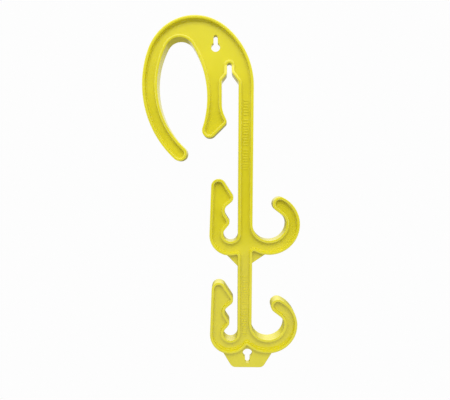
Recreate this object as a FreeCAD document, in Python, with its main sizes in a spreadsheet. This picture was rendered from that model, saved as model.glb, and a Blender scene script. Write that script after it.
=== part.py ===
import FreeCAD, Part
import math
import os
import re
import PartDesign
import Sketcher

# Garage utility hook, moulded in one piece, in millimetres.
# X runs to the right, Z runs up and the front looks towards -Y. The origin is the centre of
# the upper keyhole's round hole, midway through the thickness, where the mould parts.

vector = FreeCAD.Vector

# Driving dimensions: name, value and what it measures.
SIZES = [
    ("thickness", 14.0, "front rim face to rear rim face"),
    ("web_thickness", 5.3, "the web, gussets and tab"),
    ("bar_width", 14.5, "stem, arm and tips, edge to edge"),
    ("rim_width", 2.8, "raised rim round every outline"),
    ("edge_bevel", 0.6, "bevel that takes the rim's edges off"),
    ("stem_x", 29.0, "stem centreline"),
    ("crown_radius", 47.3, "top of the large hook"),
    ("crown_x", -19.4, "highest point"),
    ("crown_height", 27.1, "highest point"),
    ("back_radius", 67.5, "from the crown down to the stem"),
    ("sweep_radius", 91.7, "outside of the arm"),
    ("hook_reach", 69.9, "origin to the arm's outermost point"),
    ("arm_end_drop", 99.0, "centre of the arm's round end"),
    ("opening_radius", 14.0, "top of the opening"),
    ("opening_height", 7.7, "highest point of the opening"),
    ("tongue_side_radius", 88.9, "tongue towards the opening"),
    ("tongue_side_drop", 46.1, "widest place of the opening"),
    ("lobe_radius", 7.0, "round end of the tongue"),
    ("lobe_drop", 77.1, "centre of that end"),
    ("barb_radius", 3.9, "point of the tongue's barb"),
    ("barb_x", 6.7, "centre of that point"),
    ("barb_drop", 68.8, "centre of that point"),
    ("nape_radius", 28.0, "hollow above the barb"),
    ("nape_drop", 51.5, "where the hollow meets the slot"),
    ("slot_x", 5.8, "slot's edge on the tongue"),
    ("slot_corner_radius", 4.0, "upper corners of the slot"),
    ("tongue_corner_drop", 32.8, "centre of the corner on the tongue"),
    ("stem_corner_drop", 33.9, "centre of the corner on the stem"),
    ("shoulder_radius", 4.0, "rounding into the neck"),
    ("tongue_shoulder_drop", 24.0, "centre of that rounding on the tongue"),
    ("stem_shoulder_drop", 23.0, "centre of that rounding on the stem"),
    ("neck_x", 13.0, "centre of the slot's neck"),
    ("neck_width", 4.5, "slot's neck"),
    ("neck_top_drop", 13.5, "top of the neck"),
    ("neck_dip_radius", 48.0, "hollow that lowers the rim round the neck"),
    ("neck_dip_drop", 17.0, "middle of that hollow"),
    ("neck_dip_depth", 2.4, "how far it lowers the rim"),
    ("first_stage_drop", 167.85, "centre of the upper round seat"),
    ("stage_pitch", 104.3, "upper stage to lower stage"),
    ("seat_radius", 16.7, "round seat on the right"),
    ("throat_radius", 11.0, "seat curling in under the tip"),
    ("tip_rise", 19.6, "centre of the tip above the seat's centre"),
    ("cup_radius", 30.2, "outside of the right hook"),
    ("cup_reach", 54.15, "stem centreline to the outermost point on the right"),
    ("fillet_radius", 1.8, "underside of a stage into the stem"),
    ("cusp_radius", 1.2, "between the undersides of the lowest stage"),
    ("jaw_reach", 35.7, "stem centreline to the outermost point on the left"),
    ("jaw_corner_radius", 20.5, "outside of the jaw's foot"),
    ("pocket_radius", 7.25, "lower pocket of the jaw"),
    ("pocket_drop", 10.35, "centre of the pocket below the seat's centre"),
    ("bump_radius", 4.9, "bump between pocket and notch"),
    ("bump_x", 20.5, "centre of the bump, left of the stem centreline"),
    ("bump_rise", 1.6, "centre of the bump above the seat's centre"),
    ("notch_radius", 7.2, "notch under the nose"),
    ("notch_x", 13.2, "centre of the notch, left of the stem centreline"),
    ("notch_rise", 12.7, "centre of the notch above the seat's centre"),
    ("nose_radius", 5.9, "nose of the jaw"),
    ("nose_x", 17.7, "centre of the nose, left of the stem centreline"),
    ("nose_rise", 26.0, "centre of the nose above the seat's centre"),
    ("jaw_top_radius", 7.3, "top of the jaw"),
    ("jaw_top_x", 26.5, "centre of the top, left of the stem centreline"),
    ("jaw_top_rise", 37.1, "centre of the top above the seat's centre"),
    ("left_gusset_run", 11.0, "stem edge to the gusset's outer end"),
    ("left_gusset_start", 32.2, "outer end below the seat's centre"),
    ("left_gusset_drop", 43.5, "lower end below the seat's centre"),
    ("right_gusset_run", 12.9, "stem edge to the gusset's outer end"),
    ("right_gusset_start", 31.5, "outer end below the seat's centre"),
    ("right_gusset_drop", 40.5, "lower end below the seat's centre"),
    ("tab_x", 3.4, "middle of the tab, right of the stem centreline"),
    ("tab_drop", 49.05, "lower edge below the seat's centre"),
    ("tab_corner_radius", 6.5, "lower corners of the tab"),
    ("tab_corner_x", 12.4, "centres of those corners from the tab's middle"),
    ("tab_root_radius", 1.0, "upper corners of the tab, hidden in the rims"),
    ("tab_root_x", 30.2, "centres of those corners from the tab's middle"),
    ("tab_root_drop", 22.75, "centres of those corners below the seat's centre"),
    ("tab_keyhole_drop", 33.25, "centre of the tab's round hole below the seat's centre"),
    ("tab_keyhole_diameter", 10.0, "round hole that passes a screw's head"),
    ("tab_keyhole_slot", 5.0, "slot that grips its shank"),
    ("tab_keyhole_travel", 8.5, "round hole's centre to the slot's end centre"),
    ("upper_keyhole_diameter", 8.4, "round hole that passes a smaller screw's head"),
    ("upper_keyhole_slot", 4.0, "slot that grips its shank"),
    ("upper_keyhole_travel", 8.8, "round hole's centre to the slot's end centre"),
]

# Levels of the two stages, at the centres of their right seats.
UPPER = "-first_stage_drop"
LOWER = "-first_stage_drop - stage_pitch"

# Two bends touch when the lean of their common tangent is this close to a right angle, a
# straight run shorter than this is none, and edges this close to a level lie on it.
TOUCHING = 1e-9
SHORTEST_RUN = 0.01
SAME_LEVEL = 1e-4

# A sketch's numbers for the points of an edge.
START, END, CENTRE = range(1, 4)

doc = FreeCAD.newDocument("utility_hook")
sheet = doc.addObject("Spreadsheet::Sheet", "Sizes")


def fill_sheet():
    """One row a size, with its name, its value and what it measures."""
    for row, (name, value, note) in enumerate(SIZES, start=1):
        sheet.set(f"A{row}", name)
        sheet.set(f"B{row}", str(value))
        sheet.set(f"C{row}", note)
        sheet.setAlias(f"B{row}", name)
    doc.recompute()


def bound(formula):
    """The formula with each size written as a cell of the sheet."""
    return re.sub(r"\b[a-z]\w*\b", lambda word: f"Sizes.{word.group()}", formula)


def size(formula):
    """The value of a formula in the sheet's names."""
    return float(sheet.evalExpression(bound(formula)))


class Bend:
    """One round stretch of the outline.

    The outline is walked clockwise, so a bulge turns clockwise about its centre and a hollow
    turns the other way. A coordinate left out is the one at which the bend touches a neighbour.
    """

    def __init__(self, name, kind, radius, x=None, z=None):
        self.name = name
        self.turn = -1 if kind == "bulge" else 1
        self.formulas = {"radius": radius, "x": x, "z": z}
        self.radius = size(radius)
        self.x = None if x is None else size(x)
        self.z = None if z is None else size(z)
        self.twin = None

    def reach(self, inset=0.0):
        """The radius with the sign of the turn, after moving the outline into the material."""
        return self.turn * self.radius + inset

    def touch(self, other, side):
        """Finds the missing coordinate, on the given side of the bend that this one touches."""
        apart = abs(self.reach() - other.reach())
        if self.z is None:
            self.z = other.z + side * math.sqrt(apart**2 - (self.x - other.x) ** 2)
        else:
            self.x = other.x + side * math.sqrt(apart**2 - (self.z - other.z) ** 2)
        return self

    def share_centre(self, other):
        """Puts the bend about another bend's centre."""
        self.twin, self.x, self.z = other, other.x, other.z
        return self

    def touch_below(self, first, second):
        """Finds the centre under the two bends that this one touches."""
        to_first = abs(self.reach() - first.reach())
        to_second = abs(self.reach() - second.reach())
        span = math.hypot(second.x - first.x, second.z - first.z)
        along = (to_first**2 - to_second**2 + span**2) / (2 * span)
        below = math.sqrt(to_first**2 - along**2)
        across = ((second.x - first.x) / span, (second.z - first.z) / span)
        sign = -math.copysign(1.0, across[0])
        self.x = first.x + along * across[0] - sign * below * across[1]
        self.z = first.z + along * across[1] + sign * below * across[0]
        return self


def large_hook():
    """Arm, crown and back, from the arm's round end to the stem."""
    crown = Bend("crown", "bulge", "crown_radius", "crown_x", "crown_height - crown_radius")
    sweep = Bend("sweep", "bulge", "sweep_radius", "sweep_radius - hook_reach").touch(crown, -1)
    back_x = "stem_x + bar_width / 2 - back_radius"
    back = Bend("back", "bulge", "back_radius", back_x).touch(crown, -1)
    arm_end = Bend("arm_end", "bulge", "bar_width / 2", z="-arm_end_drop").touch(sweep, -1)
    return [arm_end, sweep, crown, back]


def opening(sweep):
    """Tongue, seen from the opening, then the opening's top and the arm's inner side."""
    arm = Bend("arm", "hollow", "sweep_radius - bar_width").share_centre(sweep)
    roof = Bend("roof", "hollow", "opening_radius", z="opening_height - opening_radius")
    roof.touch(arm, -1)
    side = Bend("tongue_side", "hollow", "tongue_side_radius", z="-tongue_side_drop")
    side.touch(roof, -1)
    lobe = Bend("lobe", "bulge", "lobe_radius", z="-lobe_drop").touch(side, 1)
    return [lobe, side, roof, arm]


def slot():
    """Slot between stem and tongue, with its neck, from the stem over to the tongue's barb."""
    right = "stem_x - bar_width / 2 - slot_corner_radius"
    left = "slot_x + slot_corner_radius"
    corner = ("hollow", "slot_corner_radius")
    shoulder = ("bulge", "shoulder_radius")
    return [
        Bend("right_corner", *corner, right, "-stem_corner_drop"),
        Bend("right_shoulder", *shoulder, "neck_x + neck_width / 2 + shoulder_radius", "-stem_shoulder_drop"),
        Bend("neck", "hollow", "neck_width / 2", "neck_x", "-neck_top_drop - neck_width / 2"),
        Bend("left_shoulder", *shoulder, "neck_x - neck_width / 2 - shoulder_radius", "-tongue_shoulder_drop"),
        Bend("left_corner", *corner, left, "-tongue_corner_drop"),
        Bend("nape", "hollow", "nape_radius", "slot_x + nape_radius", "-nape_drop"),
        Bend("barb", "bulge", "barb_radius", "barb_x", "-barb_drop"),
    ]


def cup(stage, level):
    """Right hook of a stage, from the stem's edge round its seat and tip to its underside."""
    edge = "stem_x + bar_width / 2"
    outside_x = "stem_x + cup_reach - cup_radius"
    outside_z = f"{level} - seat_radius - bar_width + cup_radius"
    seat = Bend(f"{stage}_seat", "hollow", "seat_radius", f"{edge} + seat_radius", level)
    throat = Bend(f"{stage}_throat", "hollow", "throat_radius", z=level).touch(seat, 1)
    outside = Bend(f"{stage}_outside", "bulge", "cup_radius", outside_x, outside_z)
    tip = Bend(f"{stage}_tip", "bulge", "bar_width / 2", z=f"{level} + tip_rise").touch(outside, 1)
    return [seat, throat, tip, outside]


def jaw(stage, level):
    """Left hook of a stage, from its foot round the top and nose to the pocket at the stem."""
    foot_x = "stem_x - jaw_reach + jaw_corner_radius"
    foot_z = f"{level} - pocket_drop - pocket_radius - bar_width + jaw_corner_radius"
    pocket_x = "stem_x - bar_width / 2 - pocket_radius"
    return [
        Bend(f"{stage}_foot", "bulge", "jaw_corner_radius", foot_x, foot_z),
        Bend(f"{stage}_top", "bulge", "jaw_top_radius", "stem_x - jaw_top_x", f"{level} + jaw_top_rise"),
        Bend(f"{stage}_nose", "bulge", "nose_radius", "stem_x - nose_x", f"{level} + nose_rise"),
        Bend(f"{stage}_notch", "hollow", "notch_radius", "stem_x - notch_x", f"{level} + notch_rise"),
        Bend(f"{stage}_bump", "bulge", "bump_radius", "stem_x - bump_x", f"{level} + bump_rise"),
        Bend(f"{stage}_pocket", "hollow", "pocket_radius", pocket_x, f"{level} - pocket_drop"),
    ]


def stem_fillet(stage, side, neighbour):
    """Small hollow where the underside of a stage runs down into the stem."""
    sign = "+" if side == "right" else "-"
    x = f"stem_x {sign} bar_width / 2 {sign} fillet_radius"
    return Bend(f"{stage}_{side}_fillet", "hollow", "fillet_radius", x).touch(neighbour, -1)


def outline():
    """The whole outline, clockwise from the arm's round end."""
    hook = large_hook()
    upper_cup, upper_jaw = cup("upper", UPPER), jaw("upper", UPPER)
    lower_cup, lower_jaw = cup("lower", LOWER), jaw("lower", LOWER)
    right_fillet = stem_fillet("upper", "right", upper_cup[-1])
    left_fillet = stem_fillet("upper", "left", upper_jaw[0])
    cusp = Bend("cusp", "hollow", "cusp_radius").touch_below(lower_jaw[0], lower_cup[-1])
    right = hook + upper_cup + [right_fillet] + lower_cup
    left = lower_jaw + [left_fillet] + upper_jaw
    return right + [cusp] + left + slot() + opening(hook[1])


def tangent(first, second, inset):
    """The straight run that leaves one bend and meets the next: its two ends."""
    dx, dz = second.x - first.x, second.z - first.z
    span = math.hypot(dx, dz)
    lean = (second.reach() - first.reach()) / span
    if abs(lean) > 1 - TOUCHING:
        lean = math.copysign(1.0, lean)
    heading = math.atan2(dz, dx) - math.asin(lean)
    normal = (-math.sin(heading), math.cos(heading))
    ends = []
    for bend in (first, second):
        reach = bend.reach(inset)
        ends.append(vector(bend.x - reach * normal[0], bend.z - reach * normal[1], 0))
    return ends


def bend_edge(bend, begin, finish, inset):
    """The bend as an arc, which a sketch always draws anticlockwise."""
    if bend.turn < 0:
        begin, finish = finish, begin
    angles = [math.atan2(point.y - bend.z, point.x - bend.x) for point in (begin, finish)]
    centre = vector(bend.x, bend.z, 0)
    circle = Part.Circle(centre, vector(0, 0, 1), abs(bend.reach(inset)))
    return Part.ArcOfCircle(circle, *angles)


def draw_outline(sketch, bends, inset_size=None):
    """Draws the bends and the runs between them as one closed loop of tangent edges."""
    inset = size(inset_size) if inset_size else 0.0
    following = bends[1:] + bends[:1]
    runs = [tangent(bend, after, inset) for bend, after in zip(bends, following)]
    edges, ends, owners = [], [], []
    for bend, before, run in zip(bends, runs[-1:] + runs[:-1], runs):
        edges.append(bend_edge(bend, before[1], run[0], inset))
        ends.append((END, START) if bend.turn < 0 else (START, END))
        owners.append(bend)
        if run[0].distanceToPoint(run[1]) > SHORTEST_RUN:
            edges.append(Part.LineSegment(*run))
            ends.append((START, END))
            owners.append(None)
    sketch.addGeometry(edges, False)
    rules = []
    for index in range(len(edges)):
        after = (index + 1) % len(edges)
        rules.append(Sketcher.Constraint("Tangent", index, ends[index][1], after, ends[after][0]))
    sized = []
    for index, bend in enumerate(owners):
        if bend:
            sized += bend_sizes(index, bend, inset_size)
        if bend and bend.twin:
            twin = owners.index(bend.twin)
            rules.append(Sketcher.Constraint("Coincident", index, CENTRE, twin, CENTRE))
    constrain(sketch, rules, sized)


def constrain(sketch, rules, sized):
    """Adds the rules, and the sized ones under their names, each tied to its formula."""
    for name, rule, _ in sized:
        rule.Name = name
    sketch.addConstraint(rules + [rule for _, rule, _ in sized])
    for name, _, formula in sized:
        sketch.setExpression(f"Constraints.{name}", bound(formula))


def bend_sizes(index, bend, inset_size):
    """The named sizes of a bend: its radius and the given coordinates of its centre."""
    sized = []
    formulas = bend.formulas
    if bend.name != "arm_end":
        radius = formulas["radius"]
        if inset_size:
            radius += f" {'-' if bend.turn < 0 else '+'} {inset_size}"
        rule = Sketcher.Constraint("Radius", index, size(radius))
        sized.append((f"{bend.name}_radius", rule, radius))
    if formulas["x"]:
        rule = Sketcher.Constraint("DistanceX", -1, START, index, CENTRE, bend.x)
        sized.append((f"{bend.name}_x", rule, formulas["x"]))
    if formulas["z"]:
        rule = Sketcher.Constraint("DistanceY", -1, START, index, CENTRE, bend.z)
        sized.append((f"{bend.name}_z", rule, formulas["z"]))
    return sized


def plane(role):
    """One of the body's own origin planes."""
    return next(item for item in body.Origin.OriginFeatures if item.Role == role)


def add_sketch(name, level=None):
    """A sketch seen from the front, on the parting plane or at a level in front of it."""
    sketch = body.newObject("Sketcher::SketchObject", name)
    sketch.AttachmentSupport = (plane("XZ_Plane"), [""])
    sketch.MapMode = "FlatFace"
    if level:
        sketch.setExpression("AttachmentOffset.Base.z", bound(level))
    return sketch


def add_feature(kind, name, formulas, **links):
    """A feature of the body, with its sizes tied to the sheet."""
    feature = body.newObject(f"PartDesign::{kind}", name)
    for key, value in links.items():
        setattr(feature, key, value)
    for key, formula in formulas.items():
        feature.setExpression(key, bound(formula))
    doc.recompute()
    return feature


def edges_at(shape, formula):
    """The names of the edges that lie flat at a level in front of the parting plane."""
    level = -size(formula)
    names = []
    for number, edge in enumerate(shape.Edges, start=1):
        box = edge.BoundBox
        if abs(box.YMin - level) < SAME_LEVEL and abs(box.YMax - level) < SAME_LEVEL:
            names.append(f"Edge{number}")
    return names


def draw_polygon(sketch, corners):
    """Draws a closed polygon whose corners are pairs of formulas."""
    points = [vector(size(x), size(z), 0) for x, z in corners]
    after = points[1:] + points[:1]
    sketch.addGeometry([Part.LineSegment(*pair) for pair in zip(points, after)], False)
    rules, sized = [], []
    for index, (point, (x, z)) in enumerate(zip(points, corners)):
        following = (index + 1) % len(points)
        rules.append(Sketcher.Constraint("Coincident", index, END, following, START))
        across = Sketcher.Constraint("DistanceX", -1, START, index, START, point.x)
        up = Sketcher.Constraint("DistanceY", -1, START, index, START, point.y)
        sized += [(f"corner_{index}_x", across, x), (f"corner_{index}_z", up, z)]
    constrain(sketch, rules, sized)


def draw_keyhole(sketch, name, x, z, way):
    """Draws a round hole with a slot that runs up or down from it."""
    sign = "+" if way > 0 else "-"
    end_z = f"{z} {sign} {name}_travel"
    hole_radius, slot_radius = f"{name}_diameter / 2", f"{name}_slot / 2"
    hole, slot_half = size(hole_radius), size(slot_radius)
    middle, end = vector(size(x), size(z), 0), vector(size(x), size(end_z), 0)
    rise = way * math.sqrt(hole**2 - slot_half**2)
    side = way * slot_half
    mouth = math.atan2(rise, side)
    far_mouth = math.atan2(rise, -side)
    normal = vector(0, 0, 1)
    turn = 0 if way > 0 else math.pi
    sketch.addGeometry([
        Part.ArcOfCircle(Part.Circle(middle, normal, hole), far_mouth, mouth),
        Part.LineSegment(middle + vector(side, rise, 0), end + vector(side, 0, 0)),
        Part.ArcOfCircle(Part.Circle(end, normal, slot_half), turn, turn + math.pi),
        Part.LineSegment(end - vector(side, 0, 0), middle + vector(-side, rise, 0)),
    ], False)
    rules = [
        Sketcher.Constraint("Coincident", 0, END, 1, START),
        Sketcher.Constraint("Tangent", 1, END, 2, START),
        Sketcher.Constraint("Tangent", 2, END, 3, START),
        Sketcher.Constraint("Coincident", 3, END, 0, START),
        Sketcher.Constraint("Vertical", 1),
        Sketcher.Constraint("Vertical", 3),
    ]
    sized = [
        ("hole_x", Sketcher.Constraint("DistanceX", -1, START, 0, CENTRE, middle.x), x),
        ("hole_z", Sketcher.Constraint("DistanceY", -1, START, 0, CENTRE, middle.y), z),
        ("end_x", Sketcher.Constraint("DistanceX", -1, START, 2, CENTRE, end.x), x),
        ("end_z", Sketcher.Constraint("DistanceY", -1, START, 2, CENTRE, end.y), end_z),
        ("hole_radius", Sketcher.Constraint("Radius", 0, hole), hole_radius),
        ("slot_radius", Sketcher.Constraint("Radius", 2, slot_half), slot_radius),
    ]
    constrain(sketch, rules, sized)


def add_frame_half():
    """Front half of stem, hooks and rims: the outline, less the recess that leaves the web.

    A wide, shallow hollow then lowers the rim round the slot's neck.
    """
    bends = outline()
    profile = add_sketch("outline")
    draw_outline(profile, bends)
    add_feature("Pad", "front_half", {"Length": "thickness / 2"}, Profile=profile)
    web = add_sketch("web_outline", "thickness / 2")
    draw_outline(web, bends, "rim_width")
    depth = {"Length": "(thickness - web_thickness) / 2"}
    recess = add_feature("Pocket", "front_recess", depth, Profile=web)
    rim_edges = (recess, edges_at(recess.Shape, "thickness / 2"))
    add_feature("Chamfer", "rim_edges", {"Size": "edge_bevel"}, Base=rim_edges)
    add_feature("SubtractiveSphere", "neck_dip", {
        "Radius": "neck_dip_radius",
        "AttachmentOffset.Base.x": "neck_x",
        "AttachmentOffset.Base.y": "-neck_dip_drop",
        "AttachmentOffset.Base.z": "thickness / 2 - neck_dip_depth + neck_dip_radius",
    }, AttachmentSupport=(plane("XZ_Plane"), [""]), MapMode="FlatFace")


def add_plate(name, profile):
    """Front half of a plate as thick as the web."""
    add_feature("Pad", name, {"Length": "web_thickness / 2"}, Profile=profile)


def add_gusset(side):
    """Thin triangle under the upper stage, let into the rims of stage and stem."""
    sign = "+" if side == "right" else "-"
    run, start, drop = (f"{side}_gusset_{word}" for word in ("run", "start", "drop"))
    let_in = "rim_width / 2"
    slope = f"({drop} - {start}) / {run}"
    edge_x = f"stem_x {sign} (bar_width / 2 - {let_in})"
    outer_x = f"stem_x {sign} (bar_width / 2 + {run} + {let_in})"
    sketch = add_sketch(f"{side}_gusset_outline")
    draw_polygon(sketch, [
        (outer_x, f"{UPPER} - {start} + {let_in} * {slope}"),
        (edge_x, f"{UPPER} - {start} + 2 * rim_width"),
        (edge_x, f"{UPPER} - {drop} - {let_in} * {slope}"),
    ])
    add_plate(f"{side}_gusset", sketch)


def add_tab():
    """Screw tab under the lower stage, its upper corners hidden in the rims."""
    middle = "stem_x + tab_x"
    low, high = f"{LOWER} - tab_drop + tab_corner_radius", f"{LOWER} - tab_root_drop"
    corner, root = ("bulge", "tab_corner_radius"), ("bulge", "tab_root_radius")
    sketch = add_sketch("tab_outline")
    draw_outline(sketch, [
        Bend("low_right", *corner, f"{middle} + tab_corner_x", low),
        Bend("low_left", *corner, f"{middle} - tab_corner_x", low),
        Bend("high_left", *root, f"{middle} - tab_root_x", high),
        Bend("high_right", *root, f"{middle} + tab_root_x", high),
    ])
    add_plate("tab", sketch)


def add_rear_half():
    """The rear is the front mirrored in the parting plane."""
    mirror = (plane("XZ_Plane"), [""])
    whole = add_feature("Mirrored", "rear_half", {}, TransformMode="Whole shape", MirrorPlane=mirror)
    body.Tip = whole


def add_keyhole(name, x, z, way):
    """A keyhole right through the web or tab."""
    sketch = add_sketch(f"{name}_outline")
    draw_keyhole(sketch, name, x, z, way)
    add_feature("Pocket", name, {"Length": "thickness"}, Profile=sketch, SideType="Symmetric")


def check_document():
    """Stops when any object failed or the hook isn't one valid solid."""
    for item in doc.Objects:
        if "Invalid" in item.State or "Error" in item.State:
            raise RuntimeError(f"{item.Name} failed: {item.State}")
    shape = body.Shape
    if shape.isNull() or not shape.isValid() or len(shape.Solids) != 1:
        raise RuntimeError(f"{body.Label} is not one valid solid")


fill_sheet()
body = doc.addObject("PartDesign::Body", "utility_hook")
body.Label = "utility_hook"
add_frame_half()
add_gusset("left")
add_gusset("right")
add_tab()
add_rear_half()
add_keyhole("upper_keyhole", "0", "0", 1)
add_keyhole("tab_keyhole", "stem_x + tab_x", f"{LOWER} - tab_keyhole_drop", -1)
doc.recompute()
check_document()

os.makedirs("parts", exist_ok=True)
body.Shape.exportStep(f"parts/{body.Label}.step")
print(body.Label, round(body.Shape.Volume), body.Shape.BoundBox)
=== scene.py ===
"""Garage utility hook: one yellow moulding with a broad hook above two double hooks on a stem.

The hook's lengths are in millimetres, with +X to the right, +Z up and the wall towards +Y. Each
outline is walked clockwise, as the front shows it. The front half rises from the parting plane and
is mirrored to make the rear.
"""
import math

import bmesh
import bpy
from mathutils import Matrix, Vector


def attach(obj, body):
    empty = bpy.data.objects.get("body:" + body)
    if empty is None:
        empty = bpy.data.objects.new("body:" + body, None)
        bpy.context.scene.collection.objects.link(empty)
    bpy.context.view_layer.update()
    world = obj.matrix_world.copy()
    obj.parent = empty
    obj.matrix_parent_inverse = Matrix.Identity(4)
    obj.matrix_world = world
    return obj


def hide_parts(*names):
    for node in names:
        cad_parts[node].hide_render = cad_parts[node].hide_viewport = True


MM = 0.001

# How a bend turns, and the side of its neighbour on which it lies.
BULGE, HOLLOW = -1, 1
LEFT, RIGHT = -1, 1
BELOW = -1

# Finest arcs: no step turns more than this or is longer than this.
STEP_TURN = math.radians(6.0)
STEP_LENGTH = 2.6

# Places this near count as touching, points this near are welded, and so are those at the seam.
TOUCH = 0.01
WELD = 0.005
SEAM_WELD = 0.002

# Section of every bar: half thicknesses, widths, and the slopes and rounds of the rim.
HALF_THICKNESS = 7.0
HALF_WEB = 2.65
BAR = 14.5
RIM = 2.8
WALL_DRAFT = 0.07
EDGE_RADIUS = 0.3
RIM_TOP_RADIUS = 3.24
RIM_TOP_START = 70.0
RIM_DRAFT = 0.12
ROOT_RADIUS = 0.6
ROUND_STEPS = 4

# Stem's centreline and sides, and the levels of the two stages, at the centres of their seats.
STEM_X = 29.0
STEM_LEFT = STEM_X - BAR / 2
STEM_RIGHT = STEM_X + BAR / 2
UPPER_LEVEL = -167.85
LOWER_LEVEL = -272.15

# Large hook: radii of its crown, sweep and back, how far it reaches, and its arm's end.
CROWN_RADIUS = 47.3
CROWN_X = -19.4
CROWN_TOP = 27.1
SWEEP_RADIUS = 91.7
SWEEP_REACH = 69.9
BACK_RADIUS = 67.5
ARM_END_LEVEL = -99.0

# Opening under the large hook: its roof, the tongue's side and the tongue's round lobe.
ROOF_RADIUS = 14.0
ROOF_TOP = 7.7
TONGUE_SIDE_RADIUS = 88.9
TONGUE_SIDE_LEVEL = -46.1
LOBE_RADIUS = 7.0
LOBE_LEVEL = -77.1

# Slot between tongue and stem: its corners and neck, with levels to the right and left of the
# neck, then the tongue's hollow side and its barb.
SLOT_TURN = 4.0
SLOT_CORNER_LEVELS = (-33.5, -32.8)
NECK_CORNER_LEVELS = (-22.4, -23.8)
NECK_X = 13.0
NECK_HALF_WIDTH = 2.25
NECK_RADIUS = 2.2
NECK_TOP = -14.6
TONGUE_RIGHT = 5.8
TONGUE_HOLLOW_RADIUS = 28.0
TONGUE_HOLLOW_LEVEL = -51.5
BARB_RADIUS = 3.9
BARB_X = 6.7
BARB_LEVEL = -68.8

# Hollow that lowers the rim round the slot's neck: its level, its full and faded reach, its depth.
NECK_DIP_LEVEL = -16.0
NECK_DIP_CORE = 6.0
NECK_DIP_REACH = 11.0
NECK_DIP_DEPTH = 3.1

# Right hook of a stage: seat, throat, outside and tip.
SEAT_RADIUS = 16.7
THROAT_RADIUS = 11.0
CUP_RADIUS = 30.2
CUP_REACH = 54.14
CUP_TIP_RISE = 19.6

# Left hook of a stage. Three numbers are a radius, how far left of the stem's centreline the bend
# lies, and how far above the stage's level.
JAW_FOOT_RADIUS = 20.5
JAW_REACH = 35.7
JAW_TOP = (7.3, 26.5, 37.1)
JAW_NOSE = (5.9, 17.7, 26.0)
JAW_NOTCH = (7.2, 13.2, 12.7)
JAW_BUMP = (4.9, 20.5, 1.6)
JAW_POCKET_RADIUS = 7.25
JAW_POCKET_DROP = 10.35

# Fillets where the stem leaves the upper stage, and the cusp between the lower stage's hooks.
STAGE_FILLET_RADIUS = 1.8
CUSP_RADIUS = 1.2

# Thin plates. Each gusset has its side of the stem, its width, and the drops of its outer and lower
# corners below the stage's level. The tab has a rounded foot, and its root lies in the rims.
PLATE_DRAFT = 0.04
PLATE_EDGE_RADIUS = 0.5
PLATE_EDGE_STEPS = 3
GUSSET_CORNER_RADIUS = 0.3
GUSSETS = [(LEFT, 11.0, 32.2, 43.5), (RIGHT, 12.9, 31.5, 40.5)]
TAB_X = STEM_X + 3.4
TAB_FOOT_RADIUS = 6.5
TAB_FOOT_OUT = 12.4
TAB_FOOT_DROP = 49.05
TAB_ROOT_RADIUS = 1.0
TAB_ROOT_OUT = 30.2
TAB_ROOT_DROP = 22.75

# Keyholes: centre, radius, the slot's width, and how far the slot runs up or down. The round hole is
# drawn as two bends that lie this far apart.
KEYHOLES = [
    (0.0, 0.0, 4.2, 4.0, 8.8),
    (TAB_X, LOWER_LEVEL - 33.25, 5.0, 5.0, -8.5),
]
HOLE_SPLIT = 0.02
KEYHOLE_EDGE = 0.2
KEYHOLE_CREASE = math.radians(60.0)

# Raised bars on the stem: each group's top level and its number of bars.
MARK_WIDTH = 5.2
MARK_HEIGHT = 1.1
MARK_DEPTH = 0.4
MARK_SOFTNESS = 0.2
MARK_PITCH = 2.6
MARK_RUNS = [(-49.0, 6), (-67.2, 10), (-95.8, 8), (-223.0, 12), (-256.8, 12)]

# Segments of each small bevel, and the sharpest turn that is still shaded smooth.
BEVEL_STEPS = 2
SMOOTH_TURN = math.radians(34.0)

# Plastic: its two tones, its gloss, and how coarsely tone and skin wander.
TONES = [(0.69, 0.620, 0.010, 1.0), (0.745, 0.670, 0.015, 1.0)]
TONE_SCALE, TONE_DETAIL = 38.0, 2.0
ROUGHNESS = (0.17, 0.22)
SKIN_SCALE, SKIN_DETAIL = 240.0, 3.0
NOISE_SPAN = (0.3, 0.7)
REFRACTION = 1.49
SPECULAR = 0.85

# Studio light by heading, whose parts run from -1 to 1: -1 on Y is straight ahead of the hook, and 1
# on Z is overhead. This is what falls on the hook from ahead, and from low to high elsewhere.
AHEAD = 0.69
AHEAD_EDGE = (-1.0, -0.35)
AROUND = (0.87, 1.20)

# What the gloss shows ahead: a dim field, a bright box above and one at each side.
FIELD = (0.0, 0.40)
FIELD_EDGE = (0.10, 0.36)
BOX_ABOVE = 2.0
BOX_ABOVE_EDGE = (0.44, 0.60)
SIDE_BOX = 1.60
SIDE_BOX_EDGE = (0.36, 0.56)

# What the gloss shows behind, from low to high and brightest at the top, and where ahead ends.
BEHIND = (0.20, 0.85)
BEHIND_EDGE = (-0.05, 0.15)
BEHIND_TOP = 1.8
BEHIND_TOP_EDGE = (0.20, 0.45)
FIELD_END = (-0.75, -0.20)

# Backdrop's white, then the floor and the lamp, in metres and watts.
WHITE = 0.983
FLOOR_LEVEL = -0.62
FLOOR_SIZE = 2.4
FLOOR_BACK = -0.9
FLOOR_GREY = 0.35
FLOOR_ROUGHNESS = 0.9
LAMP_PLACE = Vector((0.0, -0.85, 0.6))
LAMP_TARGET = Vector((0.01, 0.0, -0.15))
LAMP_WIDTH = 1.0
LAMP_HEIGHT = 0.7
LAMP_POWER = 6.6

# Camera: its place in millimetres, tilt down and turn to the left in degrees, lens and rise.
CAMERA_PLACE = (14.75, -358.0, -118.7)
CAMERA_TILT = 7.3
CAMERA_TURN = 0.952
CAMERA_LENS = 28.64
CAMERA_SENSOR = 36.0
CAMERA_RISE = 0.0441
CAMERA_NEAREST = 10.0


class Bend:
    """One round stretch of an outline; its reach is the radius, and below zero for a bulge."""

    def __init__(self, kind, radius, x, z):
        self.x, self.z = x, z
        self.reach = kind * radius


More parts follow.
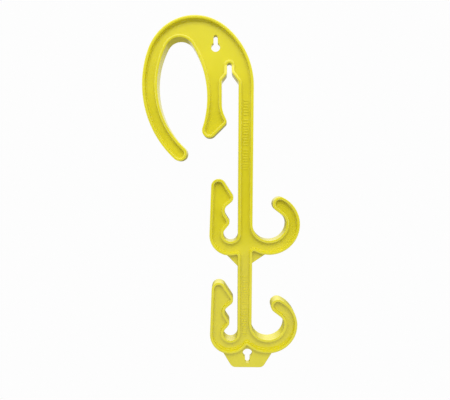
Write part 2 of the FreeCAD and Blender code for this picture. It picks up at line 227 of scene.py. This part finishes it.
def beside(near, kind, radius, side, x=None, z=None):
    """A bend that touches a neighbour and lies on the given side of it."""
    apart = abs(kind * radius - near.reach)
    if z is None:
        z = near.z + side * math.sqrt(apart**2 - (x - near.x) ** 2)
    else:
        x = near.x + side * math.sqrt(apart**2 - (z - near.z) ** 2)
    return Bend(kind, radius, x, z)


def under(first, second, kind, radius):
    """A bend that touches two others from below."""
    to_first = abs(kind * radius - first.reach)
    to_second = abs(kind * radius - second.reach)
    span_x, span_z = second.x - first.x, second.z - first.z
    span = math.hypot(span_x, span_z)
    along = (to_first**2 - to_second**2 + span**2) / (2 * span)
    below = math.copysign(math.sqrt(to_first**2 - along**2), -span_x)
    x = first.x + (along * span_x - below * span_z) / span
    z = first.z + (along * span_z + below * span_x) / span
    return Bend(kind, radius, x, z)


def large_hook():
    """Arm's end, arm, crown and back, down to the stem."""
    crown = Bend(BULGE, CROWN_RADIUS, CROWN_X, CROWN_TOP - CROWN_RADIUS)
    sweep = beside(crown, BULGE, SWEEP_RADIUS, BELOW, x=SWEEP_RADIUS - SWEEP_REACH)
    back = beside(crown, BULGE, BACK_RADIUS, BELOW, x=STEM_RIGHT - BACK_RADIUS)
    arm_end = beside(sweep, BULGE, BAR / 2, LEFT, z=ARM_END_LEVEL)
    return [arm_end, sweep, crown, back]


def opening(sweep):
    """Tongue's round end and side, the opening's roof and the arm's inner side."""
    arm = Bend(HOLLOW, SWEEP_RADIUS - BAR, sweep.x, sweep.z)
    roof = beside(arm, HOLLOW, ROOF_RADIUS, LEFT, z=ROOF_TOP - ROOF_RADIUS)
    side = beside(roof, HOLLOW, TONGUE_SIDE_RADIUS, LEFT, z=TONGUE_SIDE_LEVEL)
    lobe = beside(side, BULGE, LOBE_RADIUS, RIGHT, z=LOBE_LEVEL)
    return [lobe, side, roof, arm]


def slot():
    """Slot from the stem's side round its neck, the tongue's hollow side and its barb."""
    right_corner, left_corner = SLOT_CORNER_LEVELS
    right_neck, left_neck = NECK_CORNER_LEVELS
    return [
        Bend(HOLLOW, SLOT_TURN, STEM_LEFT - SLOT_TURN, right_corner),
        Bend(BULGE, SLOT_TURN, NECK_X + NECK_HALF_WIDTH + SLOT_TURN, right_neck),
        Bend(HOLLOW, NECK_RADIUS, NECK_X, NECK_TOP - NECK_RADIUS),
        Bend(BULGE, SLOT_TURN, NECK_X - NECK_HALF_WIDTH - SLOT_TURN, left_neck),
        Bend(HOLLOW, SLOT_TURN, TONGUE_RIGHT + SLOT_TURN, left_corner),
        Bend(HOLLOW, TONGUE_HOLLOW_RADIUS, TONGUE_RIGHT + TONGUE_HOLLOW_RADIUS, TONGUE_HOLLOW_LEVEL),
        Bend(BULGE, BARB_RADIUS, BARB_X, BARB_LEVEL),
    ]


def cup(level):
    """Right hook of a stage: seat, throat, tip and outside."""
    seat = Bend(HOLLOW, SEAT_RADIUS, STEM_RIGHT + SEAT_RADIUS, level)
    throat = beside(seat, HOLLOW, THROAT_RADIUS, RIGHT, z=level)
    middle = level - SEAT_RADIUS - BAR + CUP_RADIUS
    outside = Bend(BULGE, CUP_RADIUS, STEM_X + CUP_REACH - CUP_RADIUS, middle)
    tip = beside(outside, BULGE, BAR / 2, RIGHT, z=level + CUP_TIP_RISE)
    return [seat, throat, tip, outside]


def jaw(level):
    """Left hook of a stage: foot, top, nose, notch, bump and pocket."""

    def bend(kind, radius, left, above):
        return Bend(kind, radius, STEM_X - left, level + above)

    pocket_level = level - JAW_POCKET_DROP
    foot_level = pocket_level - JAW_POCKET_RADIUS - BAR + JAW_FOOT_RADIUS
    return [
        Bend(BULGE, JAW_FOOT_RADIUS, STEM_X - JAW_REACH + JAW_FOOT_RADIUS, foot_level),
        bend(BULGE, *JAW_TOP),
        bend(BULGE, *JAW_NOSE),
        bend(HOLLOW, *JAW_NOTCH),
        bend(BULGE, *JAW_BUMP),
        Bend(HOLLOW, JAW_POCKET_RADIUS, STEM_LEFT - JAW_POCKET_RADIUS, pocket_level),
    ]


def frame_outline():
    """The whole moulding's outline, clockwise from the arm's round end."""
    hook = large_hook()
    upper_cup, upper_jaw = cup(UPPER_LEVEL), jaw(UPPER_LEVEL)
    lower_cup, lower_jaw = cup(LOWER_LEVEL), jaw(LOWER_LEVEL)
    fillet, out = STAGE_FILLET_RADIUS, BAR / 2 + STAGE_FILLET_RADIUS
    right_fillet = beside(upper_cup[-1], HOLLOW, fillet, BELOW, x=STEM_X + out)
    left_fillet = beside(upper_jaw[0], HOLLOW, fillet, BELOW, x=STEM_X - out)
    cusp = under(lower_jaw[0], lower_cup[-1], HOLLOW, CUSP_RADIUS)
    right = hook + upper_cup + [right_fillet] + lower_cup
    left = lower_jaw + [left_fillet] + upper_jaw
    return right + [cusp] + left + slot() + opening(hook[1])


def run_heading(first, second):
    """The heading of the straight run from one bend to the next, as an angle from +X to +Z."""
    span_x, span_z = second.x - first.x, second.z - first.z
    lean = (second.reach - first.reach) / math.hypot(span_x, span_z)
    return math.atan2(span_z, span_x) - math.asin(max(-1.0, min(1.0, lean)))


def edge_point(bend, heading):
    """The point at which a bend has the given heading."""
    x = bend.x + bend.reach * math.sin(heading)
    z = bend.z - bend.reach * math.cos(heading)
    return Vector((x * MM, 0.0, z * MM))


def turn_between(bend, arrival, heading):
    """How far a bend turns from one heading to another, less than once round."""
    if bend.reach < 0:
        return -((arrival - heading) % math.tau)
    return (heading - arrival) % math.tau


def deselect_all():
    bpy.ops.object.select_all(action="DESELECT")


def select_alone(piece):
    deselect_all()
    bpy.context.view_layer.objects.active = piece
    piece.select_set(True)


def edit(piece):
    """Opens a piece in edit mode with all its faces selected."""
    select_alone(piece)
    bpy.ops.object.mode_set(mode="EDIT")
    bpy.ops.mesh.select_mode(type="FACE")
    bpy.ops.mesh.select_all(action="SELECT")


def close_edit():
    bpy.ops.object.mode_set(mode="OBJECT")


def select_in_edit(piece, kind, wanted):
    """In edit mode, selects the vertices or edges that pass a test."""
    mesh = bmesh.from_edit_mesh(piece.data)
    bpy.ops.mesh.select_mode(type=kind)
    bpy.ops.mesh.select_all(action="DESELECT")
    for item in {"VERT": mesh.verts, "EDGE": mesh.edges}[kind]:
        if wanted(item):
            item.select_set(True)
    mesh.select_flush_mode()
    bmesh.update_edit_mesh(piece.data)


def apply_modifiers(piece):
    select_alone(piece)
    for modifier in list(piece.modifiers):
        bpy.ops.object.modifier_apply(modifier=modifier.name)


def single_point(name, place):
    """A new piece of one vertex, left open in edit mode."""
    deselect_all()
    bpy.ops.mesh.primitive_plane_add(size=MM, location=place)
    piece = bpy.context.active_object
    piece.name = name
    bpy.ops.object.transform_apply(location=True)
    bpy.ops.object.mode_set(mode="EDIT")
    bpy.ops.mesh.select_mode(type="VERT")
    bpy.ops.mesh.select_all(action="SELECT")
    bpy.ops.mesh.merge(type="CENTER")
    return piece


def fill_outline(piece):
    """Closes the drawn outline and fills it with one face towards the front."""
    bpy.ops.mesh.select_all(action="SELECT")
    bpy.ops.mesh.remove_doubles(threshold=WELD * MM)
    bpy.ops.mesh.edge_face_add()
    mesh = bmesh.from_edit_mesh(piece.data)
    mesh.faces.ensure_lookup_table()
    if mesh.faces[0].normal.y > 0:
        bpy.ops.mesh.flip_normals()
    close_edit()


def draw_face(name, bends):
    """Draws an outline on the parting plane, spinning each bend and extruding each run."""
    followers = bends[1:] + bends[:1]
    headings = [run_heading(bend, follower) for bend, follower in zip(bends, followers)]
    arrivals = headings[-1:] + headings[:-1]
    piece = single_point(name, edge_point(bends[0], arrivals[0]))
    for bend, follower, arrival, heading in zip(bends, followers, arrivals, headings):
        turned = turn_between(bend, arrival, heading)
        step_turn = min(STEP_TURN, STEP_LENGTH / abs(bend.reach))
        steps = max(2, math.ceil(abs(turned) / step_turn))
        centre = Vector((bend.x * MM, 0.0, bend.z * MM))
        bpy.ops.mesh.spin(steps=steps, angle=turned, center=centre, axis=(0.0, 1.0, 0.0))
        run = edge_point(follower, heading) - edge_point(bend, heading)
        if run.length > TOUCH * MM:
            bpy.ops.mesh.extrude_vertices_move(TRANSFORM_OT_translate={"value": run})
    fill_outline(piece)
    return piece


def step_in(across, forward):
    """Insets the selected face and raises it, both in millimetres."""
    bpy.ops.mesh.inset(thickness=across * MM, depth=forward * MM, use_even_offset=True)


def round_over(radius, start, finish, steps=ROUND_STEPS):
    """Insets along a round, between two angles: 0 runs straight up or down, 90 faces the front."""
    angles = [math.radians(start + (finish - start) * i / steps) for i in range(steps + 1)]
    for before, after in zip(angles, angles[1:]):
        across = radius * (math.cos(before) - math.cos(after))
        forward = radius * (math.sin(after) - math.sin(before))
        step_in(across, forward)


def raise_rim(piece):
    """Raises the wall and the crowned rim from the parting plane, then sinks the web inside it."""
    steep = math.sin(math.radians(RIM_TOP_START))
    rim_height = EDGE_RADIUS * steep + RIM_TOP_RADIUS * (1.0 - steep)
    edit(piece)
    step_in(WALL_DRAFT, HALF_THICKNESS - rim_height)
    round_over(EDGE_RADIUS, 0.0, RIM_TOP_START)
    round_over(RIM_TOP_RADIUS, RIM_TOP_START, 180.0 - RIM_TOP_START)
    round_over(EDGE_RADIUS, 180.0 - RIM_TOP_START, 180.0)
    step_in(RIM_DRAFT, HALF_WEB + ROOT_RADIUS + rim_height - HALF_THICKNESS)
    round_over(ROOT_RADIUS, 0.0, -90.0)
    close_edit()


def dip_at_neck(piece):
    """Presses the rim down round the slot's neck, fading out over the given reach."""
    edit(piece)
    root = -(HALF_WEB + ROOT_RADIUS) * MM
    select_in_edit(piece, "VERT", lambda corner: corner.co.y > root - TOUCH * MM)
    bpy.ops.mesh.hide(unselected=False)
    neck = Vector((NECK_X * MM, 0.0, NECK_DIP_LEVEL * MM))

    def at_neck(corner):
        flat = Vector((corner.co.x, 0.0, corner.co.z))
        return not corner.hide and (flat - neck).length < NECK_DIP_CORE * MM

    select_in_edit(piece, "VERT", at_neck)
    bpy.ops.transform.translate(value=(0.0, NECK_DIP_DEPTH * MM, 0.0), use_proportional_edit=True,
                                proportional_edit_falloff="SMOOTH", proportional_size=NECK_DIP_REACH * MM)
    bpy.ops.mesh.reveal(select=False)
    close_edit()


def rear_side(piece):
    """Mirrors the front half in the parting plane and closes the shell there."""
    mirror = piece.modifiers.new("rear", "MIRROR")
    mirror.use_axis = (False, True, False)
    mirror.use_clip = False
    mirror.merge_threshold = SEAM_WELD * MM
    apply_modifiers(piece)
    edit(piece)
    bpy.ops.mesh.normals_make_consistent(inside=False)
    close_edit()


def joined(piece, other, operation):
    """Welds another solid to a piece, or cuts it out of it, and removes the other."""
    boolean = piece.modifiers.new("joint", "BOOLEAN")
    boolean.operation = operation
    boolean.solver = "MANIFOLD"
    boolean.object = other
    apply_modifiers(piece)
    bpy.data.objects.remove(other)


def plate(name, bends):
    """A thin plate of the web's thickness with softly rounded edges."""
    piece = draw_face(name, bends)
    edit(piece)
    step_in(PLATE_DRAFT, HALF_WEB - PLATE_EDGE_RADIUS)
    round_over(PLATE_EDGE_RADIUS, 0.0, 90.0, PLATE_EDGE_STEPS)
    close_edit()
    rear_side(piece)
    return piece


def gusset(side, run, start, drop):
    """Thin triangle under the upper stage; its hidden corners lie inside the rims."""
    let_in = RIM / 2
    slope = (drop - start) / run
    near = STEM_X + side * (BAR / 2 - let_in)
    far = STEM_X + side * (BAR / 2 + run + let_in)
    corners = [
        (far, UPPER_LEVEL - start + let_in * slope),
        (near, UPPER_LEVEL - drop - let_in * slope),
        (near, UPPER_LEVEL - start + 2 * RIM),
    ]
    if side == LEFT:
        corners.reverse()
    return plate("gusset", [Bend(BULGE, GUSSET_CORNER_RADIUS, x, z) for x, z in corners])


def tab():
    """Screw tab under the lower stage; its upper corners lie inside the rims."""
    foot = LOWER_LEVEL - TAB_FOOT_DROP + TAB_FOOT_RADIUS
    root = LOWER_LEVEL - TAB_ROOT_DROP
    return plate("tab", [
        Bend(BULGE, TAB_FOOT_RADIUS, TAB_X + TAB_FOOT_OUT, foot),
        Bend(BULGE, TAB_FOOT_RADIUS, TAB_X - TAB_FOOT_OUT, foot),
        Bend(BULGE, TAB_ROOT_RADIUS, TAB_X - TAB_ROOT_OUT, root),
        Bend(BULGE, TAB_ROOT_RADIUS, TAB_X + TAB_ROOT_OUT, root),
    ])


def cutter(bends):
    """A straight prism that stands out of both faces."""
    piece = draw_face("cutter", bends)
    edit(piece)
    step_in(0.0, 2 * HALF_THICKNESS)
    close_edit()
    rear_side(piece)
    return piece


def cut_keyhole(piece, x, z, radius, slot_width, travel):
    """Cuts a round hole with a slot that runs up or down from it, and softens its edges."""
    round_hole = [Bend(BULGE, radius, x, z), Bend(BULGE, radius, x, z + HOLE_SPLIT)]
    slot_run = [Bend(BULGE, slot_width / 2, x, z), Bend(BULGE, slot_width / 2, x, z + travel)]
    joined(piece, cutter(round_hole), "DIFFERENCE")
    joined(piece, cutter(slot_run), "DIFFERENCE")
    extent = abs(travel) + slot_width

    def on_edge(edge):
        ends = [corner.co / MM for corner in edge.verts]
        at_face = all(abs(abs(end.y) - HALF_WEB) < TOUCH for end in ends)
        near = all(math.hypot(end.x - x, end.z - z) < extent for end in ends)
        return at_face and near and len(edge.link_faces) == 2 and edge.calc_face_angle() > KEYHOLE_CREASE

    edit(piece)
    select_in_edit(piece, "EDGE", on_edge)
    bpy.ops.mesh.bevel(offset=KEYHOLE_EDGE * MM, segments=BEVEL_STEPS, affect="EDGES", clamp_overlap=True)
    close_edit()


def raised_bar():
    """One raised bar at level zero on the stem's front, with softened edges."""
    front = -HALF_WEB * MM
    deselect_all()
    bpy.ops.mesh.primitive_cube_add(size=1.0, location=(STEM_X * MM, front, 0.0))
    bar = bpy.context.active_object
    bar.scale = (MARK_WIDTH * MM, 2 * MARK_DEPTH * MM, MARK_HEIGHT * MM)
    bpy.ops.object.transform_apply(location=True, scale=True)
    edit(bar)
    select_in_edit(bar, "EDGE", lambda edge: any(corner.co.y < front for corner in edge.verts))
    bpy.ops.mesh.bevel(offset=MARK_SOFTNESS * MM, segments=BEVEL_STEPS, affect="EDGES")
    close_edit()
    return bar


def stem_marks():
    """Raised bars in groups up the stem's front, modelled once and copied."""
    bar = raised_bar()
    bars = []
    deselect_all()
    for top, count in MARK_RUNS:
        for step in range(count):
            another = bar.copy()
            another.data = bar.data.copy()
            another.location.z = (top - step * MARK_PITCH) * MM
            bpy.context.collection.objects.link(another)
            another.select_set(True)
            bars.append(another)
    bpy.data.objects.remove(bar)
    marks = bars[-1]
    bpy.context.view_layer.objects.active = marks
    bpy.ops.object.join()
    marks.name = "hook_stem_marks"
    bpy.ops.object.transform_apply(location=True)
    return marks


def finish_surface(piece, material):
    """Smooths a piece up to its crisp edges, paints it and sets it on the hook's body."""
    select_alone(piece)
    bpy.ops.object.shade_smooth_by_angle(angle=SMOOTH_TURN, keep_sharp_edges=True)
    piece.modifiers.new("even", "WEIGHTED_NORMAL").keep_sharp = True
    apply_modifiers(piece)
    piece.data.materials.clear()
    piece.data.materials.append(material)
    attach(piece, "root")


def grey(level):
    return (level, level, level, 1.0)


def ramp(tree, value, span, levels, curve="SMOOTHSTEP"):
    """Leads from the first level to the second over a value's span; a level may be an output."""
    step = tree.nodes.new("ShaderNodeMapRange")
    step.interpolation_type = curve
    for name, end in zip(("From Min", "From Max"), span):
        step.inputs[name].default_value = end
    for name, level in zip(("To Min", "To Max"), levels):
        if isinstance(level, float):
            step.inputs[name].default_value = level
        else:
            tree.links.new(level, step.inputs[name])
    tree.links.new(value, step.inputs["Value"])
    return step.outputs["Result"]


def yellow_plastic():
    """Semi-gloss moulded plastic: slow flow shading, and a skin of faintly uneven gloss."""
    material = bpy.data.materials.new("yellow_plastic")
    material.use_nodes = True
    tree = material.node_tree
    nodes, links = tree.nodes, tree.links
    shader = nodes["Principled BSDF"]
    shader.inputs["Specular IOR Level"].default_value = SPECULAR
    shader.inputs["IOR"].default_value = REFRACTION
    place = nodes.new("ShaderNodeTexCoord")

    def noise(scale, detail, levels):
        texture = nodes.new("ShaderNodeTexNoise")
        texture.inputs["Scale"].default_value = scale
        texture.inputs["Detail"].default_value = detail
        links.new(place.outputs["Object"], texture.inputs["Vector"])
        return ramp(tree, texture.outputs["Fac"], NOISE_SPAN, levels, "LINEAR")

    tint = nodes.new("ShaderNodeMix")
    tint.data_type = "RGBA"
    for name, tone in zip(("A", "B"), TONES):
        tint.inputs[name].default_value = tone
    links.new(noise(TONE_SCALE, TONE_DETAIL, (0.0, 1.0)), tint.inputs["Factor"])
    links.new(tint.outputs["Result"], shader.inputs["Base Color"])
    links.new(noise(SKIN_SCALE, SKIN_DETAIL, ROUGHNESS), shader.inputs["Roughness"])
    return material


def seen_by(tree, usual, other, rays):
    """Lets the named kinds of ray see another shader where all the rest see the usual one."""
    nodes, links = tree.nodes, tree.links
    path = nodes.new("ShaderNodeLightPath")
    seen = path.outputs[rays[0]]
    for kind in rays[1:]:
        either = nodes.new("ShaderNodeMath")
        either.operation = "MAXIMUM"
        links.new(seen, either.inputs[0])
        links.new(path.outputs[kind], either.inputs[1])
        seen = either.outputs[0]
    mix = nodes.new("ShaderNodeMixShader")
    links.new(seen, mix.inputs["Fac"])
    links.new(usual.outputs[0], mix.inputs[1])
    links.new(other.outputs[0], mix.inputs[2])
    return mix


def surroundings():
    """Soft light from all round, boxes that only the gloss shows, and a plain white backdrop."""
    world = bpy.data.worlds.new("studio")
    world.use_nodes = True
    world.cycles.sampling_method = "NONE"
    bpy.context.scene.world = world
    tree = world.node_tree
    nodes, links = tree.nodes, tree.links
    sight = nodes.new("ShaderNodeTexCoord")
    heading = nodes.new("ShaderNodeSeparateXYZ")
    links.new(sight.outputs["Generated"], heading.inputs[0])
    across, forward, upward = heading.outputs

    falling = nodes["Background"]
    falling.inputs["Color"].default_value = grey(1.0)
    elsewhere = ramp(tree, upward, (-1.0, 1.0), AROUND)
    links.new(ramp(tree, forward, AHEAD_EDGE, (AHEAD, elsewhere)), falling.inputs["Strength"])

    aside = nodes.new("ShaderNodeMath")
    aside.operation = "ABSOLUTE"
    links.new(across, aside.inputs[0])
    field = ramp(tree, upward, FIELD_EDGE, FIELD)
    field = ramp(tree, upward, BOX_ABOVE_EDGE, (field, BOX_ABOVE))
    field = ramp(tree, aside.outputs[0], SIDE_BOX_EDGE, (field, SIDE_BOX))
    behind = ramp(tree, upward, BEHIND_EDGE, BEHIND)
    behind = ramp(tree, upward, BEHIND_TOP_EDGE, (behind, BEHIND_TOP))
    mirrored = nodes.new("ShaderNodeBackground")
    mirrored.inputs["Color"].default_value = grey(1.0)
    links.new(ramp(tree, forward, FIELD_END, (field, behind)), mirrored.inputs["Strength"])

    backdrop = nodes.new("ShaderNodeBackground")
    backdrop.inputs["Color"].default_value = grey(WHITE)
    lit = seen_by(tree, falling, mirrored, ["Is Glossy Ray"])
    sky = seen_by(tree, lit, backdrop, ["Is Camera Ray", "Is Transmission Ray"])
    links.new(sky.outputs[0], nodes["World Output"].inputs["Surface"])


def floor_below():
    """A matt floor that throws light back up; the camera and the gloss see plain white there."""
    deselect_all()
    bpy.ops.mesh.primitive_plane_add(size=FLOOR_SIZE, location=(0.0, FLOOR_BACK, FLOOR_LEVEL))
    floor = bpy.context.active_object
    floor.name = "floor"
    bpy.ops.object.transform_apply(location=True)
    paint = bpy.data.materials.new("floor_white")
    paint.use_nodes = True
    tree = paint.node_tree
    matt = tree.nodes["Principled BSDF"]
    matt.inputs["Base Color"].default_value = grey(FLOOR_GREY)
    matt.inputs["Roughness"].default_value = FLOOR_ROUGHNESS
    white = tree.nodes.new("ShaderNodeEmission")
    white.inputs["Color"].default_value = grey(WHITE)
    surface = seen_by(tree, matt, white, ["Is Camera Ray", "Is Glossy Ray", "Is Transmission Ray"])
    tree.links.new(surface.outputs[0], tree.nodes["Material Output"].inputs["Surface"])
    floor.data.materials.append(paint)


def lamp_above():
    """A broad soft lamp, in front and above, that the gloss doesn't show."""
    light = bpy.data.lights.new("softbox_above", "AREA")
    light.shape = "RECTANGLE"
    light.size = LAMP_WIDTH
    light.size_y = LAMP_HEIGHT
    light.energy = LAMP_POWER
    lamp = bpy.data.objects.new("softbox_above", light)
    lamp.visible_glossy = False
    bpy.context.collection.objects.link(lamp)
    lamp.location = LAMP_PLACE
    lamp.rotation_euler = (LAMP_TARGET - LAMP_PLACE).to_track_quat("-Z", "Y").to_euler()


def photograph_camera():
    """The camera, in front and a little above the middle, looking slightly down."""
    lens = bpy.data.cameras.new("camera")
    lens.sensor_width = CAMERA_SENSOR
    lens.lens = CAMERA_LENS
    lens.shift_y = CAMERA_RISE
    lens.clip_start = CAMERA_NEAREST * MM
    camera = bpy.data.objects.new("camera", lens)
    bpy.context.collection.objects.link(camera)
    camera.location = [length * MM for length in CAMERA_PLACE]
    camera.rotation_euler = (math.radians(90.0 - CAMERA_TILT), 0.0, math.radians(CAMERA_TURN))
    bpy.context.scene.camera = camera


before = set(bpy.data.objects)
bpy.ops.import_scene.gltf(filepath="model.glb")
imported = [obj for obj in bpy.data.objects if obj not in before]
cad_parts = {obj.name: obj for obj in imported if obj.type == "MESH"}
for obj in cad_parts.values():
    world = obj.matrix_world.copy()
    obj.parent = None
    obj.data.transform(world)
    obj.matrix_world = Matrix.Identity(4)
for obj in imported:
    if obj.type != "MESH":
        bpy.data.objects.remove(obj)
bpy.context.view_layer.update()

moulding = draw_face("hook_moulding", frame_outline())
raise_rim(moulding)
dip_at_neck(moulding)
rear_side(moulding)
for measures in GUSSETS:
    joined(moulding, gusset(*measures), "UNION")
joined(moulding, tab(), "UNION")
for keyhole in KEYHOLES:
    cut_keyhole(moulding, *keyhole)
marks = stem_marks()
plastic = yellow_plastic()
for piece in (moulding, marks):
    finish_surface(piece, plastic)
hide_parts("utility_hook")

surroundings()
floor_below()
lamp_above()
photograph_camera()
bpy.context.scene.view_settings.view_transform = "Standard"
